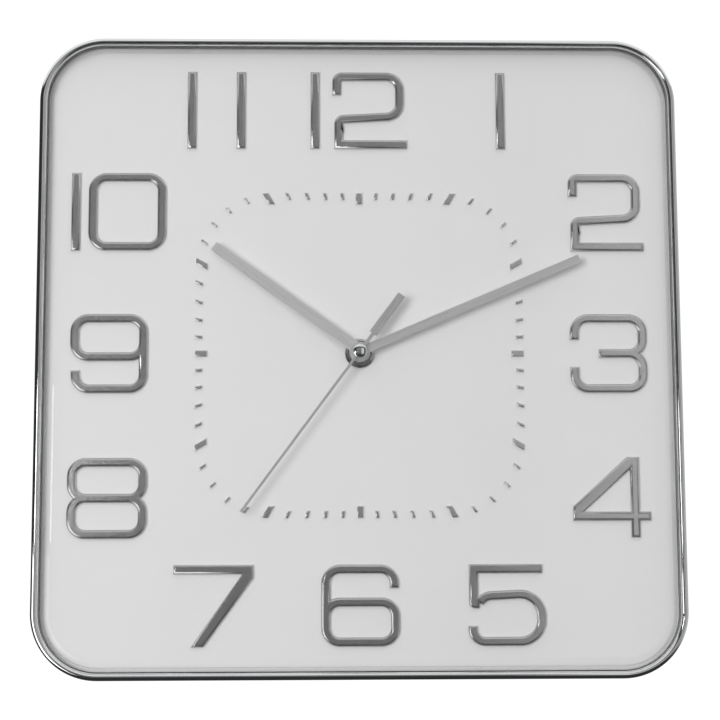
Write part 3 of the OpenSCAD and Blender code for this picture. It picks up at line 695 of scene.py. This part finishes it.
class CLOCK_OT_hands(bpy.types.Operator):
    """Brushed hour, minute and second hands with their polished cap"""
    bl_idname = "clock.hands"
    bl_label = "Hands"

    def execute(self, context):
        # each hand, where it points in degrees clockwise from 12, and its shade: painted shade
        # that darkens that hand's copy of the one brushed finish
        for node, angle, shade in (("hour_hand", 306, 0.95), ("minute_hand", 66.85, 0.87),
                                   ("second_hand", 216.5, 0.74)):
            bm = rounded_copy(node, front(node), sizes().hand_bevel)
            # painted shade: this hand's copy of the brushed colour is darkened by its shade
            colour = [c * shade for c in colours().hand]
            finish = brushed("brushed_" + node, colour, angle)
            finish_piece(bm, node + "_blade", BODY_OF[node], finish, [node],
                         angle=50, recalc=False)
        self.cap()
        return {"FINISHED"}

    @staticmethod
    def cap():
        """Polished cap: a straight collar under a low round crown."""
        low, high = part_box("second_hand_cap")
        centre, radius = (low + high) / 2, (high.x - low.x) / 2
        rim, collar, crown = 0.35 * MM, 0.95 * MM, 0.7 * MM
        crown_radius = radius * 0.985
        points = [(0, high.y), (radius - rim, high.y), (radius, high.y - rim),
                  (radius, low.y + collar)]
        steps = 8
        for step in range(steps + 1):
            a = math.pi / 2 * step / steps
            points.append((crown_radius * math.cos(a), low.y + crown * (1 - math.sin(a))))
        bm = lathe(points, centre)
        finish_piece(bm, "centre_cap", BODY_OF["second_hand_cap"], finish_of("chrome"),
                     ["second_hand_cap"], angle=40)


class CLOCK_OT_centre(bpy.types.Operator):
    """Ring nut, washer, bushing and gasket that hold the movement to the dial"""
    bl_idname = "clock.centre"
    bl_label = "Centre fixing"

    def execute(self, context):
        low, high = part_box("fixing_nut")
        centre, radius = (low + high) / 2, (high.x - low.x) / 2
        bushing_rim, clearance, chamfer = 2 * MM, 0.03 * MM, 1.1 * MM
        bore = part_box("threaded_bushing")[1].x - bushing_rim + clearance
        bm = lathe([(bore, high.y), (radius, high.y), (radius, low.y + chamfer),
                    (radius - chamfer, low.y), (bore, low.y), (bore, high.y)], centre)
        # shallow grip notches in every sixth face of the side
        side = [f for f in bm.faces if abs(f.normal.y) < 0.2
                and (f.calc_center_median() - centre).xz.length > radius - 0.2 * MM]
        for face in side[::6]:
            bmesh.ops.inset_region(bm, faces=[face], thickness=0.03 * MM, depth=-0.25 * MM)
        steel = turned("turned_nut", (0.55, 0.55, 0.56), "fixing_nut", 0.1, 0.2)
        finish_piece(bm, "ring_nut", CASE, steel, ["fixing_nut"], angle=30)
        paint("dial_washer", finish_of("steel"))
        paint("rubber_gasket", finish_of("rubber"))
        paint("threaded_bushing", turned("turned_bushing", BRASS, "threaded_bushing"))
        return {"FINISHED"}


class CLOCK_OT_movement(bpy.types.Operator):
    """Movement shells, setting knob, battery and contacts"""
    bl_idname = "clock.movement"
    bl_label = "Movement case and battery"

    def execute(self, context):
        for node in ("movement_case", "movement_cover"):
            bm = rounded_copy(node, back(node), 0.25 * MM)
            finish_piece(bm, node + "_shell", CASE, finish_of("movement"),
                         [node], recalc=False)
        bm = rounded_copy("setting_knob", back("setting_knob"), 0.15 * MM)
        finish_piece(bm, "knob_wheel", BODY_OF["setting_knob"], finish_of("knob"),
                     ["setting_knob"], recalc=False)
        paint("battery", finish_of("cell"))
        for node in ("battery_contact_positive", "battery_contact_negative"):
            paint(node, finish_of("steel"))
        return {"FINISHED"}


class CLOCK_OT_train(bpy.types.Operator):
    """Gear train, stepping motor and electronics inside the movement"""
    bl_idname = "clock.train"
    bl_label = "Train and motor"

    def execute(self, context):
        for node in ("train_bridge", "hour_wheel", "minute_wheel", "third_wheel",
                     "seconds_wheel", "fifth_wheel", "rotor", "coil_bobbin"):
            paint(node, finish_of("acetal"))
        for node in ("cannon_pinion", "centre_wheel"):
            paint(node, turned("turned_" + node, BRASS, node))
        for node in ("stator", "coil_core", "quartz_crystal", "friction_washer"):
            paint(node, finish_of("steel"))
        paint("rotor_magnet", finish_of("magnet"))
        paint("coil_winding", finish_of("winding"))
        paint("circuit_board", finish_of("board"))
        paint("control_chip", finish_of("chip"))
        return {"FINISHED"}


class CLOCK_OT_stage(bpy.types.Operator):
    """Camera, pale floor and soft studio light"""
    bl_idname = "clock.stage"
    bl_label = "Studio"

    def execute(self, context):
        self.camera()
        self.floor()
        self.lights()
        self.surroundings()
        bpy.context.scene.view_settings.view_transform = "Standard"
        return {"FINISHED"}

    @staticmethod
    def camera():
        """A long lens, a little below and to the left of the clock's middle."""
        data = bpy.data.cameras.new("studio_camera")
        data.lens, data.sensor_width = 94.12, 36
        data.clip_start, data.clip_end = 0.01, 50
        camera = bpy.data.objects.new("studio_camera", data)
        bpy.context.scene.collection.objects.link(camera)
        ahead = Vector((0.02846, 0.98971, 0.14025)).normalized()
        up = Vector((0.00025, -0.14031, 0.99011))
        right = ahead.cross(up).normalized()
        up = right.cross(ahead)
        place = Matrix.Translation((-0.0248, -0.8881, -0.1261))
        camera.matrix_world = place @ Matrix((right, up, -ahead)).transposed().to_4x4()
        bpy.context.scene.camera = camera

    @staticmethod
    def floor():
        """Plain pale floor well below the clock, seen by the camera only."""
        bm = bmesh.new()
        bmesh.ops.create_grid(bm, x_segments=1, y_segments=1, size=6,
                              matrix=Matrix.Translation((0, -0.2, -1.2)))
        mesh = bpy.data.meshes.new("studio_floor")
        bm.to_mesh(mesh)
        bm.free()
        floor = bpy.data.objects.new("studio_floor", mesh)
        bpy.context.scene.collection.objects.link(floor)
        f = Finish("studio_floor", (0.86, 0.86, 0.86), 0.0, 0.7)
        f.tone(f.noise(3, 2), 0.98, 1.0)
        mesh.materials.append(f.material)
        floor.visible_glossy = False
        floor.visible_diffuse = False

    @staticmethod
    def soft_light(name, place, size, power, mirrored=False):
        """A square panel of light; a mirrored one shows only in reflections."""
        data = bpy.data.lights.new(name, "AREA")
        data.shape = "SQUARE"
        data.size = size
        data.energy = power
        aim = Vector((0, -0.02, 0))
        light = bpy.data.objects.new(name, data)
        bpy.context.scene.collection.objects.link(light)
        light.location = place
        light.rotation_euler = (aim - Vector(place)).to_track_quat("-Z", "Y").to_euler()
        light.visible_camera = False
        light.visible_glossy = mirrored
        light.visible_diffuse = not mirrored

    def lights(self):
        self.soft_light("key_left", (-0.68, -1.35, -0.05), 0.6, 8.5)
        self.soft_light("fill_right", (0.7, -1.3, 0.1), 0.4, 1.2)
        self.soft_light("front_soft", (-0.4, -1.9, 0.2), 1.4, 14.3)
        self.soft_light("low_left_glint", (-0.56, -0.55, -0.3), 0.5, 1.6, mirrored=True)
        self.soft_light("small_glint", (-0.36, -0.85, 0.02), 0.14, 0.4, mirrored=True)

    @staticmethod
    def surroundings():
        """White to the camera; for light and reflections, a dark room with pale panels."""
        world = bpy.data.worlds.new("studio_world")
        bpy.context.scene.world = world
        world.use_nodes = True
        n = Nodes(world.node_tree)
        n.tree.nodes.clear()

        def smooth(value, low, high, bottom, top):
            return n.ramp(value, low, high, bottom, top, "SMOOTHSTEP")

        def both(a, b):
            return n.math("MULTIPLY", a, b)

        def window(value, low, high, edge, strength):
            """The strength between low and high, fading over the edge to either side."""
            return both(smooth(value, low - edge, low + edge, 0, strength),
                        smooth(value, high - edge, high + edge, 1, 0))

        split = n.add("ShaderNodeSeparateXYZ")
        n.link(n.add("ShaderNodeTexCoord").outputs["Generated"], split.inputs["Vector"])
        x, y, z = (split.outputs[axis] for axis in "XYZ")

        # overhead panel, from behind the clock to well in front of it
        overhead = smooth(z, 0.42, 0.5, 0, 0.85)
        # pale backdrop behind the clock
        backdrop = both(smooth(y, 0.2, 0.5, 0, 0.9), smooth(z, -0.6, -0.2, 0, 1))
        backdrop = both(backdrop, smooth(x, -0.6, -0.1, 0, 1))
        # the dim room in front, lighter higher up and to the right
        level = both(window(z, -0.12, 0.34, 0.06, 1), smooth(y, -0.3, -0.6, 0, 1))
        room = both(window(x, -0.22, 0.26, 0.05, 1), smooth(z, 0.08, 0.26, 0.15, 0.25))
        room = both(room, level)
        glow = both(window(x, 0.125, 0.32, 0.05, 0.72), level)
        # upright panel on the right
        upright = both(smooth(x, 0.44, 0.62, 0, 0.45), smooth(z, -0.55, -0.25, 0, 1))

        total = 0.03
        for panel in (overhead, backdrop, room, glow, upright):
            total = n.math("MAXIMUM", total, panel)
        shine = n.add("ShaderNodeBackground", Color=(1, 1, 1, 1))
        n.link(total, shine.inputs["Strength"])
        white = n.add("ShaderNodeBackground", Color=(1, 1, 1, 1), Strength=1.05)
        seen = n.add("ShaderNodeLightPath").outputs["Is Camera Ray"]
        mix = n.add("ShaderNodeMixShader")
        n.link(seen, mix.inputs["Fac"])
        n.link(shine.outputs["Background"], mix.inputs[1])
        n.link(white.outputs["Background"], mix.inputs[2])
        n.link(mix.outputs["Shader"], n.add("ShaderNodeOutputWorld").inputs["Surface"])


class CLOCK_PT_panel(bpy.types.Panel):
    """Lists the clock's pieces"""
    bl_idname = "CLOCK_PT_panel"
    bl_label = "Wall Clock"
    bl_space_type = "VIEW_3D"
    bl_region_type = "UI"
    bl_category = "Wall Clock"

    def draw(self, context):
        for operator in PIECES:
            self.layout.operator(operator.bl_idname)
        for group in (context.scene.clock_sizes, context.scene.clock_colours):
            box = self.layout.box()
            for name in group.__annotations__:
                box.prop(group, name)


PIECES = (
    CLOCK_OT_bezel, CLOCK_OT_seal, CLOCK_OT_lens, CLOCK_OT_housing, CLOCK_OT_dial, CLOCK_OT_hands,
    CLOCK_OT_centre, CLOCK_OT_movement, CLOCK_OT_train, CLOCK_OT_stage,
)
CLASSES = (ClockSizes, ClockColours, *PIECES, CLOCK_PT_panel)


def register():
    for cls in CLASSES:
        bpy.utils.register_class(cls)
    bpy.types.Scene.clock_sizes = PointerProperty(type=ClockSizes)
    bpy.types.Scene.clock_colours = PointerProperty(type=ClockColours)


def unregister():
    del bpy.types.Scene.clock_sizes
    del bpy.types.Scene.clock_colours
    for cls in reversed(CLASSES):
        bpy.utils.unregister_class(cls)


def main():
    register()
    bpy.ops.clock.bezel()
    bpy.ops.clock.seal()
    bpy.ops.clock.lens()
    bpy.ops.clock.housing()
    bpy.ops.clock.dial()
    bpy.ops.clock.hands()
    bpy.ops.clock.centre()
    bpy.ops.clock.movement()
    bpy.ops.clock.train()
    bpy.ops.clock.stage()


if __name__ == "__main__":
    main()
